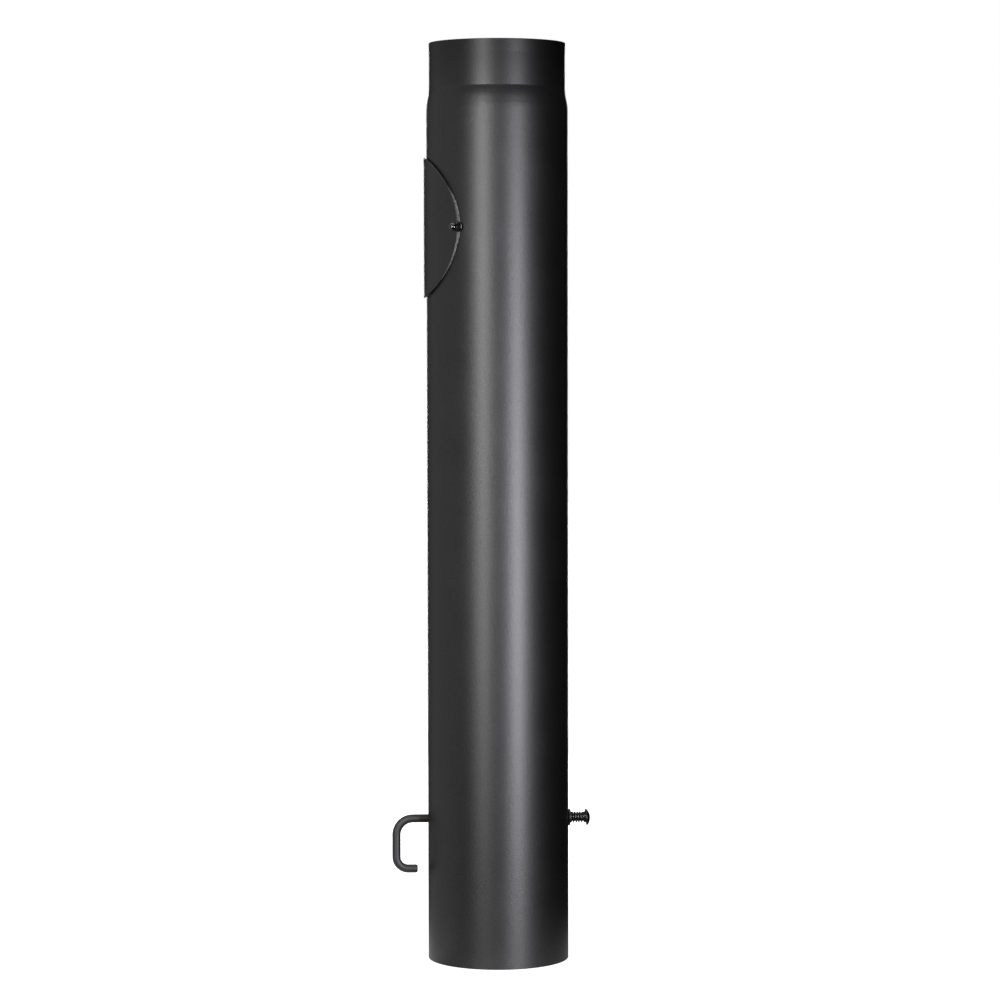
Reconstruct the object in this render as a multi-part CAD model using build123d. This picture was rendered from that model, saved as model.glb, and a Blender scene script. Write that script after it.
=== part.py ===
from build123d import *
import math
import os

# Flue pipe: steel tube with its top end reduced to plug into the next pipe. Millimetres, +Z up.
pipe_bore = 150.0
pipe_wall = 2.0
pipe_length = 1000.0
neck_clearance = 1.0
neck_length = 49.0
shoulder_length = 24.0
shoulder_easing = 10.8
rim_flare = 0.3
rim_flare_length = 14.0
rim_deburr = 0.4

# Cleanout opening in the left side, with a rolled cover plate and a fibre gasket under it
cleanout_from_top = 200.0
cleanout_diameter = 100.0
cover_overlap = 26.0
cover_thickness = 1.0
gasket_thickness = 2.0
gasket_overhang = 1.75
gasket_recess = 3.0
gasket_margin = 10.0
outline_points = 32

# Two weld studs at the cover's front and rear edge, each with a flat washer and a domed cap nut
stud_diameter = 6.0
stud_collar_diameter = 7.6
stud_collar_height = 0.8
stud_thread_in_nut = 8.0
stud_clearance = 0.4
stud_washer_diameter = 12.0
stud_washer_clearance = 0.2
stud_washer_thickness = 1.6
nut_across_flats = 10.0
nut_hex_height = 5.2
nut_dome_diameter = 9.5
nut_height = 12.0
nut_end_space = 1.0
nut_chamfer_angle = 30.0
thread_clearance = 0.05

# Damper shaft: one round bar, bent into the handle at its left end
shaft_height = 154.0
bar_diameter = 9.0
handle_stand_off = 35.0
handle_drop = 55.4
handle_tip_gap = 11.7
upper_bend_radius = 18.0
lower_bend_radius = 13.0
tip_round = 2.2
bar_end_chamfer = 0.8
shaft_clearance = 0.1
flat_depth = 1.5
ear_height = 2.4
ear_thickness = 3.0
ear_length = 2.6

# Blade: round plate with a draught opening, held on the bar's flat by two riveted saddles
blade_gap = 2.0
blade_thickness = 2.0
blade_end_clearance = 1.0
draught_hole_diameter = 46.0
draught_hole_edge = 12.0
saddle_thickness = 1.5
saddle_width = 16.0
saddle_spacing = 80.0
saddle_foot_length = 12.0
saddle_bend_radius = 0.6
rivet_diameter = 4.0
rivet_head_diameter = 7.6
rivet_head_height = 1.8

# Spring end on the right: a washer each side of the wall, a compression spring and a push-on cap
washer_diameter = 18.0
washer_thickness = 2.0
washer_hole_clearance = 0.3
inner_washer_thickness = 1.4
spring_wire = 1.5
spring_clearance = 0.2
spring_length = 17.4
spring_closed_gap = 0.1
spring_closed_turns_left = 1
spring_open_turns = 4
spring_closed_turns_right = 2
spring_points_per_turn = 8
cap_lip_clearance = 1.0
cap_lip_width = 1.8
cap_rim_height = 1.6
cap_dome_rise = 3.4
cap_sheet = 0.5
cap_edge_round = 0.3
cap_end_space = 1.0
lock_washer_thickness = 0.5
lock_washer_seat_width = 0.4
lock_washer_tooth_rise = 0.8
lock_washer_teeth = 6
lock_washer_slot = 0.9
lock_washer_grip = 0.03

# Gap left between pieces that bear on each other
seat_gap = 0.05
turning_gap = 0.15

pipe_inner_radius = pipe_bore / 2
pipe_outer_radius = pipe_inner_radius + pipe_wall
neck_radius = pipe_inner_radius - neck_clearance
cleanout_height = pipe_length - cleanout_from_top
cover_diameter = cleanout_diameter + 2 * cover_overlap
bar_radius = bar_diameter / 2
gasket_inner_face = pipe_outer_radius + seat_gap
cover_inner_face = pipe_outer_radius + gasket_thickness
cover_outer_face = cover_inner_face + cover_thickness
stud_angle = math.degrees(cover_diameter / 2 / cover_inner_face)
stud_seat = cover_outer_face + seat_gap
nut_seat = stud_seat + stud_washer_thickness
washer_radius = washer_diameter / 2
inner_washer_seat = math.sqrt(pipe_inner_radius**2 - washer_radius**2) - seat_gap
inner_washer_face = inner_washer_seat - inner_washer_thickness
outer_washer_back = pipe_outer_radius + turning_gap
outer_washer_face = outer_washer_back + washer_thickness
blade_radius = pipe_inner_radius - blade_gap
blade_face = bar_radius - flat_depth
blade_end = inner_washer_face - blade_end_clearance
draught_hole_offset = blade_radius - draught_hole_edge - draught_hole_diameter / 2
ear_face = inner_washer_face - turning_gap
saddle_inner_radius = bar_radius + seat_gap
saddle_outer_radius = saddle_inner_radius + saddle_thickness
saddle_foot_back = blade_face - seat_gap
rivet_offset = saddle_outer_radius + saddle_bend_radius + saddle_foot_length / 2
spring_radius = bar_radius + spring_clearance + spring_wire / 2
spring_outer_radius = spring_radius + spring_wire / 2
spring_start = outer_washer_face + seat_gap
spring_turns = spring_closed_turns_left + spring_open_turns + spring_closed_turns_right
spring_closed_turns = spring_closed_turns_left + spring_closed_turns_right
spring_closed_pitch = spring_wire + spring_closed_gap
spring_open_pitch = (spring_length - spring_closed_turns * spring_closed_pitch) / spring_open_turns
lock_washer_back = spring_start + spring_length + seat_gap
cap_lip_radius = spring_outer_radius + cap_lip_clearance
cap_radius = cap_lip_radius + cap_lip_width
cap_back = lock_washer_back - seat_gap - cap_sheet
cap_dome_radius = (cap_radius**2 + cap_dome_rise**2) / (2 * cap_dome_rise)
cap_height = cap_rim_height + cap_dome_rise
bar_end = cap_back + cap_height - cap_sheet - cap_end_space


def flat_ring(outer, hole, thickness):
    """A washer that stands on the origin."""
    foot = (Align.CENTER, Align.CENTER, Align.MIN)
    return Cylinder(outer / 2, thickness, align=foot) - Cylinder(hole / 2, thickness, align=foot)


def on_shaft(piece, start):
    """Turns a piece that stands on the origin, its axis along Z, onto the shaft from a place along X."""
    return Pos(start, 0, shaft_height) * Rot(0, 90, 0) * piece


def at_stud(side):
    """The place on the pipe's axis from which a stud's own axis runs out along local Z."""
    return Pos(0, 0, cleanout_height) * Rot(0, 0, 180 + side * stud_angle) * Rot(0, 90, 0)


def post(diameter, inner, outer):
    """A round post along local Z, from an inner to an outer radius from the pipe's axis."""
    foot = (Align.CENTER, Align.CENTER, Align.MIN)
    return Pos(0, 0, inner) * Cylinder(diameter / 2, outer - inner, align=foot)


def flue_pipe():
    shoulder_start = pipe_length - neck_length - shoulder_length
    shoulder_end = pipe_length - neck_length
    flare_start = pipe_length - rim_flare_length

    def wall_line(inset):
        """One face of the wall from bottom to top, moved inwards from the outside by the inset."""
        body = pipe_outer_radius - inset
        neck = neck_radius - inset
        return [
            Line((body, 0, 0), (body, 0, shoulder_start)),
            Bezier(
                (body, 0, shoulder_start),
                (body, 0, shoulder_start + shoulder_easing),
                (neck, 0, shoulder_end - shoulder_easing),
                (neck, 0, shoulder_end),
            ),
            Line((neck, 0, shoulder_end), (neck, 0, flare_start)),
            Bezier(
                (neck, 0, flare_start),
                (neck, 0, (flare_start + pipe_length) / 2),
                (neck + rim_flare, 0, pipe_length),
            ),
        ]

    outside = wall_line(0)
    inside = wall_line(pipe_wall)
    foot = Line(inside[0] @ 0, outside[0] @ 0)
    rim = Line(outside[-1] @ 1, inside[-1] @ 1)
    section = Face(Wire([*outside, rim, *inside, foot]))
    pipe = revolve(section, Axis.Z)
    rims = pipe.edges().group_by(Axis.Z)[0] + pipe.edges().group_by(Axis.Z)[-1]
    pipe = fillet(rims.filter_by(GeomType.CIRCLE), rim_deburr)
    shaft_drill = Cylinder(bar_radius + shaft_clearance, 4 * pipe_outer_radius)
    pipe -= Pos(0, 0, shaft_height) * Rot(0, 90, 0) * shaft_drill
    cutter = post(cleanout_diameter, pipe_wall, pipe_outer_radius + pipe_wall)
    return pipe - Pos(0, 0, cleanout_height) * Rot(0, -90, 0) * cutter


def rolled_blank(radius, thickness, width, height):
    """An oval blank rolled to a radius about the pipe's axis, its cut edge square to the sheet."""
    points = []
    for step in range(outline_points):
        turn = 2 * math.pi * step / outline_points
        arc = width / 2 * math.cos(turn) / radius
        points.append((0, radius * math.sin(arc), cleanout_height + height / 2 * math.sin(turn)))
    prism = extrude(Face(Wire(Spline(*points, periodic=True))), amount=2 * radius, dir=(-1, 0, 0))
    tube = Pos(0, 0, cleanout_height) * Cylinder(radius, 2 * height)
    skin = tube.faces().filter_by(GeomType.CYLINDER)[0]
    trimmed = (skin & prism).faces()[0]
    return thicken(trimmed, amount=thickness)


def stud_notches(diameter):
    """A cutter for the places where the two studs stand."""
    drill = post(diameter, pipe_inner_radius, nut_seat)
    return at_stud(1) * drill + at_stud(-1) * drill


def cleanout_cover():
    plate = rolled_blank(cover_inner_face, cover_thickness, cover_diameter, cover_diameter)
    return plate - stud_notches(stud_diameter + 2 * stud_clearance)


def cover_gasket():
    """A flat fibre ring. It squeezes out past the cover at the studs and lies back from it elsewhere."""
    width = cover_diameter + 2 * gasket_overhang
    height = cover_diameter - 2 * gasket_recess
    opening = cleanout_diameter + 2 * gasket_margin
    ring = rolled_blank(gasket_inner_face, gasket_thickness - 2 * seat_gap, width, height)
    middle = rolled_blank(pipe_inner_radius, pipe_wall + 2 * gasket_thickness, opening, opening)
    return ring - middle - stud_notches(stud_collar_diameter + 2 * stud_clearance)


def cover_stud(side):
    """A weld stud with a low collar, its foot shaped to the pipe."""
    tip = nut_seat + stud_thread_in_nut
    root = pipe_outer_radius - pipe_wall / 2
    collar_top = pipe_outer_radius + stud_collar_height
    stud = at_stud(side) * (post(stud_diameter, root, tip) + post(stud_collar_diameter, root, collar_top))
    return stud - Pos(0, 0, cleanout_height) * Cylinder(pipe_outer_radius, 4 * stud_collar_diameter)


def cover_washer(side):
    hole = stud_diameter + 2 * stud_washer_clearance
    ring = flat_ring(stud_washer_diameter, hole, stud_washer_thickness)
    return at_stud(side) * Pos(0, 0, stud_seat) * ring


def turned(points):
    """Turns a closed outline of radius and height pairs about Z."""
    outline = Polyline(*[(radius, 0, height) for radius, height in points], close=True)
    return revolve(make_face(outline), Axis.Z)


def cover_nut(side):
    """A domed cap nut, its hexagon blunted on both faces."""
    foot = (Align.CENTER, Align.CENTER, Align.MIN)
    flat = nut_across_flats / 2
    corner = flat / math.cos(math.pi / 6)
    drop = (corner - flat) * math.tan(math.radians(nut_chamfer_angle))
    top = nut_hex_height
    blunted = turned([(0, 0), (flat, 0), (corner, drop), (corner, top - drop), (flat, top), (0, top)])
    hexagon = extrude(RegularPolygon(corner, 6), amount=top) & blunted
    dome_radius = nut_dome_diameter / 2
    neck = Cylinder(dome_radius, nut_height - dome_radius, align=foot)
    dome = Pos(0, 0, nut_height - dome_radius) * Sphere(dome_radius)
    bore = Cylinder(stud_diameter / 2 + thread_clearance, stud_thread_in_nut + nut_end_space, align=foot)
    return at_stud(side) * Pos(0, 0, nut_seat + seat_gap) * (hexagon + neck + dome - bore)


def damper_shaft():
    """One bent bar, pressed flat where the blade lies on it, with two ears crimped out at its right end."""
    low = shaft_height - handle_drop
    handle = -pipe_outer_radius - handle_stand_off
    route = FilletPolyline(
        (-pipe_outer_radius - handle_tip_gap, 0, low),
        (handle, 0, low),
        (handle, 0, shaft_height),
        (bar_end, 0, shaft_height),
        radius=[lower_bend_radius, upper_bend_radius],
    )
    section = Plane(origin=route @ 0, z_dir=route % 0) * Circle(bar_radius)
    bar = sweep(section, path=route)
    tip_edge = bar.edges().filter_by(GeomType.CIRCLE).sort_by_distance(route @ 0)[0]
    bar = fillet(tip_edge, tip_round)
    end_edge = bar.edges().filter_by(GeomType.CIRCLE).sort_by_distance(route @ 1)[0]
    bar = chamfer(end_edge, bar_end_chamfer)
    pressed = Box(2 * ear_face, flat_depth, bar_diameter)
    bar -= Pos(0, bar_radius - flat_depth / 2, shaft_height) * pressed
    ears = Box(ear_length, ear_thickness, bar_diameter + 2 * ear_height)
    return bar + Pos(ear_face - ear_length / 2, 0, shaft_height) * ears


def blade_to_shaft(piece):
    """Stands a piece drawn flat, its face on XY and its height along -Y, against the bar's flat."""
    return Pos(0, blade_face, shaft_height) * Rot(-90, 0, 0) * piece


def rivet_place(side, row):
    """One of the four rivets' places on the blade's face. Side and row are 1 or -1."""
    return Pos(side * saddle_spacing / 2, row * rivet_offset, 0)


def rivet_drills():
    drill = Cylinder(rivet_diameter / 2 + seat_gap, 4 * (blade_thickness + saddle_thickness))
    return [blade_to_shaft(rivet_place(side, row) * drill) for side in (-1, 1) for row in (-1, 1)]


def damper_blade():
    """A round plate, cut straight at the shaft's ends to clear the inner washer."""
    foot = (Align.CENTER, Align.CENTER, Align.MIN)
    disc = Cylinder(blade_radius, blade_thickness, align=foot)
    disc &= Box(2 * blade_end, 3 * blade_radius, 3 * blade_thickness)
    disc -= Pos(0, draught_hole_offset, 0) * Cylinder(draught_hole_diameter / 2, 3 * blade_thickness)
    return blade_to_shaft(disc) - rivet_drills()


def arch_outline(radius, depth):
    """A half circle about the shaft's centre, with straight sides running back to a depth."""
    front = ThreePointArc((0, radius), (-radius, 0), (0, -radius))
    back = Polyline((0, -radius), (depth, -radius), (depth, radius), (0, radius))
    return make_face([front, back])


def blade_saddle(side):
    """A strap bent over the bar, with a foot on the blade each side. Its section lies across the bar."""
    toe = saddle_outer_radius + saddle_bend_radius + saddle_foot_length
    feet = Pos(saddle_foot_back - saddle_thickness / 2, 0) * Rectangle(saddle_thickness, 2 * toe)
    section = arch_outline(saddle_outer_radius, saddle_foot_back) + feet
    section -= arch_outline(saddle_inner_radius, saddle_foot_back)
    foot_front = saddle_foot_back - saddle_thickness
    bends = [(foot_front, saddle_outer_radius, 0), (saddle_foot_back, saddle_inner_radius, saddle_thickness)]
    for depth, reach, sheet in bends:
        corners = [section.vertices().sort_by_distance((depth, end * reach))[0] for end in (-1, 1)]
        section = fillet(corners, saddle_bend_radius + sheet)
    strap = extrude(Plane.YZ * section, amount=saddle_width / 2, both=True)
    return Pos(side * saddle_spacing / 2, 0, shaft_height) * strap - rivet_drills()


def saddle_rivet(side, row):
    """A solid rivet, its two button heads closed on the saddle's foot and on the blade's back."""
    head_radius = rivet_head_diameter / 2
    ball = (head_radius**2 + rivet_head_height**2) / (2 * rivet_head_height)
    above = Box(4 * ball, 4 * ball, 4 * ball, align=(Align.CENTER, Align.CENTER, Align.MIN))
    head = Pos(0, 0, rivet_head_height - ball) * Sphere(ball) & above
    front = blade_face - saddle_foot_back + saddle_thickness + seat_gap
    grip = front + blade_thickness + seat_gap
    shank = Cylinder(rivet_diameter / 2, grip, align=(Align.CENTER, Align.CENTER, Align.MIN))
    rivet = shank + Pos(0, 0, grip) * head + Rot(180, 0, 0) * head
    return blade_to_shaft(rivet_place(side, row) * Pos(0, 0, -front) * rivet)


def outer_washer():
    ring = flat_ring(washer_diameter, bar_diameter + 2 * washer_hole_clearance, washer_thickness)
    return on_shaft(ring, outer_washer_back)


def inner_washer():
    ring = flat_ring(washer_diameter, bar_diameter + 2 * washer_hole_clearance, inner_washer_thickness)
    return on_shaft(ring, inner_washer_face)


def compression_spring():
    """Round wire wound about the shaft, closed turns at both ends and open ones between, ground flat."""
    points = []
    for step in range(spring_turns * spring_points_per_turn + 1):
        turn = step / spring_points_per_turn
        angle = 2 * math.pi * turn
        opened = min(max(turn - spring_closed_turns_left, 0), spring_open_turns)
        rise = spring_closed_pitch * (turn - opened) + spring_open_pitch * opened
        points.append((spring_radius * math.cos(angle), spring_radius * math.sin(angle), rise))
    route = Spline(*points)
    section = Plane(origin=route @ 0, z_dir=route % 0) * Circle(spring_wire / 2)
    wire = sweep(section, path=route, is_frenet=True)
    foot = (Align.CENTER, Align.CENTER, Align.MIN)
    ground = Cylinder(spring_outer_radius + spring_wire, spring_length, align=foot)
    return on_shaft(wire & ground, spring_start)


def lock_washer():
    """A toothed ring that grips the bar. Its teeth are dished towards the bar's end."""
    bore = bar_radius + lock_washer_grip
    rim = cap_radius - cap_sheet - seat_gap
    dish = spring_outer_radius - lock_washer_seat_width
    top = lock_washer_thickness
    rise = lock_washer_tooth_rise
    ring = turned([(rim, 0), (rim, top), (dish, top), (bore, top + rise), (bore, rise), (dish, 0)])
    slot = Box(dish, lock_washer_slot, 4 * (top + rise), align=(Align.MIN, Align.CENTER, Align.CENTER))
    ring -= PolarLocations(0, lock_washer_teeth) * slot
    return on_shaft(ring, lock_washer_back)


def dome_arc(radius, edge):
    """The arc of a dome from its edge to its top. X is the radius from the shaft, Z the height."""
    full = math.asin(edge / radius)
    ends = [(radius * math.sin(turn), 0, radius * math.cos(turn)) for turn in (full, full / 2, 0)]
    return Pos(0, 0, cap_height - cap_dome_radius) * ThreePointArc(*ends)


def end_cap():
    """A drawn dome of thin sheet, its rim turned in behind the lock washer."""
    outside = dome_arc(cap_dome_radius, cap_radius)
    inside = dome_arc(cap_dome_radius - cap_sheet, cap_radius - cap_sheet)
    lip = [
        (cap_radius - cap_sheet, 0, cap_sheet),
        (cap_lip_radius, 0, cap_sheet),
        (cap_lip_radius, 0, 0),
        (cap_radius, 0, 0),
    ]
    rim = Polyline(inside @ 0, *lip, outside @ 0)
    section = make_face([outside, Line(outside @ 1, inside @ 1), inside, rim])
    section = fillet(section.vertices().group_by(Axis.X)[-1], cap_edge_round)
    return on_shaft(revolve(section, Axis.Z), cap_back)


ends = {"left": -1, "right": 1}
rows = {"lower": 1, "upper": -1}
studs = {"front": 1, "rear": -1}

pieces = {
    "pipe": flue_pipe(),
    "cleanout_cover": cleanout_cover(),
    "cover_gasket": cover_gasket(),
    "damper_shaft": damper_shaft(),
    "damper_blade": damper_blade(),
    "inner_washer": inner_washer(),
    "outer_washer": outer_washer(),
    "shaft_spring": compression_spring(),
    "lock_washer": lock_washer(),
    "end_cap": end_cap(),
}
for place, side in studs.items():
    pieces[f"cover_stud_{place}"] = cover_stud(side)
    pieces[f"cover_washer_{place}"] = cover_washer(side)
    pieces[f"cover_nut_{place}"] = cover_nut(side)
for end, side in ends.items():
    pieces[f"blade_saddle_{end}"] = blade_saddle(side)
    for level, row in rows.items():
        pieces[f"rivet_{end}_{level}"] = saddle_rivet(side, row)

os.makedirs("parts", exist_ok=True)
for name, piece in pieces.items():
    export_step(piece, f"parts/{name}.step")
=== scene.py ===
import math
import random

import bpy
from mathutils import Matrix, Vector


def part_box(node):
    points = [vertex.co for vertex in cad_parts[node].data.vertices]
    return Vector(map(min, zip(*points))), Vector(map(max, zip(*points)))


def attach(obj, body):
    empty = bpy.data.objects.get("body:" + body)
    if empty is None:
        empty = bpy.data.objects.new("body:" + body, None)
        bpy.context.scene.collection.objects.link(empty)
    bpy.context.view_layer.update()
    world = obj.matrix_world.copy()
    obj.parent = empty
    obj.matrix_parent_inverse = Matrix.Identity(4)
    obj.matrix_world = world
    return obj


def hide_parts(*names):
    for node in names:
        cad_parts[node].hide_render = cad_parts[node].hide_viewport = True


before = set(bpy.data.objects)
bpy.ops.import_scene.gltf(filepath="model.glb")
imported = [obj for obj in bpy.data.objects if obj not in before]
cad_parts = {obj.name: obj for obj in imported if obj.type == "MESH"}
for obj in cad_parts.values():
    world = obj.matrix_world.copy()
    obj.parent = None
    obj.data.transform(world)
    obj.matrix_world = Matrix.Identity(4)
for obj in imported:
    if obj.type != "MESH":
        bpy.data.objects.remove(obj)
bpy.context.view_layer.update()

# Flue pipe: 2 mm sheet steel, rolled, welded down the back and pressed in at its top to fit the next pipe.
# A satin heat-proof paint is sprayed on outside and baked to a fine orange peel. Inside it is thinner.
mm = 0.001
pipe_wall = 2.0 * mm
pipe_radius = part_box("pipe")[1][0]
pipe_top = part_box("pipe")[1][2]
neck_radius = 74.0 * mm
neck_length = 49.0 * mm
shoulder_length = 24.0 * mm
shoulder_head = pipe_top - neck_length
shoulder_foot = shoulder_head - shoulder_length
paint_colour = (0.085, 0.085, 0.086)
paint_flake = 1.0
paint_roughness = 0.43
inside_colour = (0.055, 0.053, 0.050)
inside_roughness = 0.62
peel_size = 1.4 * mm
peel_depth = 0.13 * mm
speckle = 0.18
dust_size = 0.5 * mm
dust_depth = 0.02 * mm
mottle_size = 45 * mm
mottle_share = 0.5
grain_share = 1.6
roughness_drift = 0.05
# Painted shade: how much darker the neck is painted towards the top, and how patchy that is.
neck_shade_tone = 0.66
neck_shade_spread = 0.1
crease_lift = 1.25
# Painted highlight: the pale grey painted along the cover's rounded rim.
rim_highlight_colour = (0.26, 0.26, 0.26)


class Signal:
    """One output of a node. A sum or product that is written with it adds its own Math nodes."""

    def __init__(self, tree, socket):
        self.tree = tree
        self.socket = socket

    def __add__(self, other):
        return self.tree.maths("ADD", self, other)

    def __sub__(self, other):
        return self.tree.maths("SUBTRACT", self, other)

    def __rsub__(self, other):
        return self.tree.maths("SUBTRACT", other, self)

    def __mul__(self, other):
        return self.tree.maths("MULTIPLY", self, other)

    def __truediv__(self, other):
        return self.tree.maths("DIVIDE", self, other)

    def __pow__(self, other):
        return self.tree.maths("POWER", self, other)

    __radd__ = __add__
    __rmul__ = __mul__


class Tree:
    """A node tree that is being built, for a finish, a shape or the studio's light."""

    def __init__(self, tree):
        self.tree = tree
        tree.nodes.clear()

    def add(self, kind, settings=None, inputs=None, output=0):
        """Adds a node: its settings first, then the values or links of its sockets."""
        node = self.tree.nodes.new(kind)
        for name, value in (settings or {}).items():
            setattr(node, name, value)
        for name, value in (inputs or {}).items():
            if isinstance(value, Signal):
                self.tree.links.new(value.socket, node.inputs[name])
            else:
                node.inputs[name].default_value = value
        if isinstance(output, tuple):
            return [Signal(self, node.outputs[name]) for name in output]
        return Signal(self, node.outputs[output]) if node.outputs else node

    def maths(self, operation, *terms):
        return self.add("ShaderNodeMath", {"operation": operation}, dict(enumerate(terms)))

    def held(self, value, low, high):
        """Keeps a value between two limits."""
        return self.maths("MINIMUM", self.maths("MAXIMUM", value, low), high)

    def between(self, value, low, high, start=0.0, end=1.0):
        """Goes smoothly from start to end while the value goes from low to high."""
        inputs = {"Value": value, "From Min": low, "From Max": high, "To Min": start, "To Max": end}
        return self.add("ShaderNodeMapRange", {"interpolation_type": "SMOOTHSTEP"}, inputs, "Result")


class Finish(Tree):
    """A material that is being built. Its patterns lie on the piece's own coordinates, in metres."""

    def __init__(self, name):
        self.material = bpy.data.materials.new(name)
        self.material.use_nodes = True
        super().__init__(self.material.node_tree)
        self.place = self.add("ShaderNodeTexCoord", output="Object")

    def noise(self, size, detail=2.0, stretch=(1, 1, 1)):
        """Soft noise with grains of about a size, drawn out along an axis by its stretch."""
        scale = tuple(1 / (size * along) for along in stretch)
        place = self.add("ShaderNodeMapping", inputs={"Vector": self.place, "Scale": scale})
        return self.add("ShaderNodeTexNoise", inputs={"Vector": place, "Scale": 1.0, "Detail": detail})

    def blend(self, amount, colour_a, colour_b):
        """Goes from one colour to another as an amount goes from 0 to 1."""
        ends = [(*colour, 1) if isinstance(colour, tuple) else colour for colour in (colour_a, colour_b)]
        inputs = {"Factor": amount, 6: ends[0], 7: ends[1]}
        return self.add("ShaderNodeMix", {"data_type": "RGBA"}, inputs, output=2)

    def bump(self, height, depth, under=None):
        """Raises the surface by up to a depth where a height goes from 0 to 1."""
        inputs = {"Height": height, "Distance": depth}
        if under:
            inputs["Normal"] = under
        return self.add("ShaderNodeBump", inputs=inputs)

    def close(self, **inputs):
        """Joins the surface to the material's output."""
        named = {name.replace("_", " "): value for name, value in inputs.items()}
        surface = self.add("ShaderNodeBsdfPrincipled", {"distribution": "GGX"}, named)
        self.add("ShaderNodeOutputMaterial", inputs={"Surface": surface})
        return self.material


def shade(colour, share):
    """A colour made darker or lighter by a share."""
    return tuple(share * part for part in colour)


def stove_paint(name, gloss=0.0, painted_rim=None):
    """Satin black heat-proof paint. Gloss lowers its roughness, and painted_rim paints a pale highlight where
    it nears 1.
    """
    paint = Finish(name)
    across, along, up = paint.add("ShaderNodeSeparateXYZ", inputs={0: paint.place}, output=("X", "Y", "Z"))
    from_axis = (across ** 2 + along ** 2) ** 0.5
    outer_face = paint.between(up, shoulder_foot, shoulder_head, pipe_radius, neck_radius)
    outside = paint.between(outer_face - from_axis, pipe_wall, 0.6 * pipe_wall)
    mottle = paint.noise(mottle_size, 3.0)
    grain = paint.noise(peel_size, 2.0)
    speckled = 0.5 + (mottle - 0.5) * mottle_share + (grain - 0.5) * grain_share
    tone = paint.blend(speckled, shade(paint_colour, 1 - speckle), shade(paint_colour, 1 + speckle))
    # The neck is painted darker towards the top, in uneven patches: a painted shade where the light fades at
    # the top.
    shade_spread = paint.between(mottle, -0.5, 1.5, 1 - neck_shade_spread, 1 + neck_shade_spread)
    neck_shade = paint.between(up, shoulder_foot, pipe_top) * shade_spread
    tone = paint.blend(neck_shade, tone, shade(paint_colour, neck_shade_tone))
    colour = paint.blend(outside, inside_colour, tone)
    if painted_rim:
        # Painted highlight: paler where painted_rim nears 1.
        colour = paint.blend(painted_rim(paint, across, along, up), colour, rim_highlight_colour)
    rough_outside = paint_roughness - gloss + roughness_drift * (mottle - 0.5)
    roughness = inside_roughness + (rough_outside - inside_roughness) * outside
    dust = paint.noise(dust_size, 1.0)
    peel = paint.bump(grain, peel_depth, paint.bump(dust, dust_depth))
    drop = paint.held((shoulder_head - up) / shoulder_length, 0.0, 1.0)
    crisp = crease_lift - crease_lift * (1 - drop) ** 2.0 - paint.between(drop, 0.0, 1.0)
    crease = paint.bump(crisp, pipe_radius - neck_radius, peel)
    return paint.close(Base_Color=colour, Metallic=paint_flake * outside, Roughness=roughness, Normal=crease)


def dress(node, material):
    """Gives a CAD node its finish."""
    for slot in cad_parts[node].material_slots:
        slot.material = material


pipe_paint = stove_paint("pipe_paint")
dress("pipe", pipe_paint)

# Weld seam: the bead that closes the rolled sheet, run down the back in one pass and brushed almost flush.
# Each puddle of weld froze over the one before it, and the paint lies over them all.
seam_pitch = 1.5 * mm
seam_width = 3.0 * mm
seam_rise = 0.22 * mm
seam_start = 5.0 * mm
seam_stop = 4.0 * mm
seam_wander = 0.15 * mm
seam_swell = 0.15
seam_overlap = 0.9
shoulder_easing = 10.8 * mm
shoulder_steps = 12


class Shape(Tree):
    """A Geometry Nodes tree. Its sizes are named inputs, set on the modifier before it first runs."""

    sockets = {int: "NodeSocketInt", float: "NodeSocketFloat", tuple: "NodeSocketVector"}

    def __init__(self, name, sizes):
        self.group = bpy.data.node_groups.new(name, "GeometryNodeTree")
        super().__init__(self.group)
        self.values = {}
        self.group.interface.new_socket("Shape", in_out="OUTPUT", socket_type="NodeSocketGeometry")
        self.group.interface.new_socket("Shape", in_out="INPUT", socket_type="NodeSocketGeometry")
        for size, value in sizes.items():
            kind = self.sockets[type(value)]
            socket = self.group.interface.new_socket(size, in_out="INPUT", socket_type=kind)
            self.values[socket.identifier] = value
        names = ("Shape", *sizes)
        self.given = dict(zip(names, self.add("NodeGroupInput", output=names)))

    def at(self, across, along, up):
        return self.add("ShaderNodeCombineXYZ", inputs={"X": across, "Y": along, "Z": up})

    def spread(self, low, high, seed):
        """A random number between two limits for each point."""
        inputs = {2: low, 3: high, "Seed": seed}
        return self.add("FunctionNodeRandomValue", {"data_type": "FLOAT"}, inputs, output=1)

    def run(self, shape, piece, material):
        """Ends the tree, runs it once on a piece and leaves the piece with the plain mesh."""
        whole = self.add("GeometryNodeRealizeInstances", inputs={0: shape})
        coated = self.add("GeometryNodeSetMaterial", inputs={"Geometry": whole, "Material": material})
        self.add("NodeGroupOutput", inputs={"Shape": coated})
        modifier = piece.modifiers.new(self.group.name, "NODES")
        modifier.node_group = self.group
        for identifier, value in self.values.items():
            modifier[identifier] = value
        graph = bpy.context.evaluated_depsgraph_get()
        plain = bpy.data.meshes.new_from_object(piece.evaluated_get(graph), depsgraph=graph)
        piece.modifiers.clear()
        piece.data = plain
        return piece


def new_piece(name, points, faces, edges=()):
    """An object at the origin with its place in its mesh, shaded smooth."""
    mesh = bpy.data.meshes.new(name)
    mesh.from_pydata(points, edges, faces)
    mesh.shade_smooth()
    mesh.update()
    piece = bpy.data.objects.new(name, mesh)
    bpy.context.scene.collection.objects.link(piece)
    return piece


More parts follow.
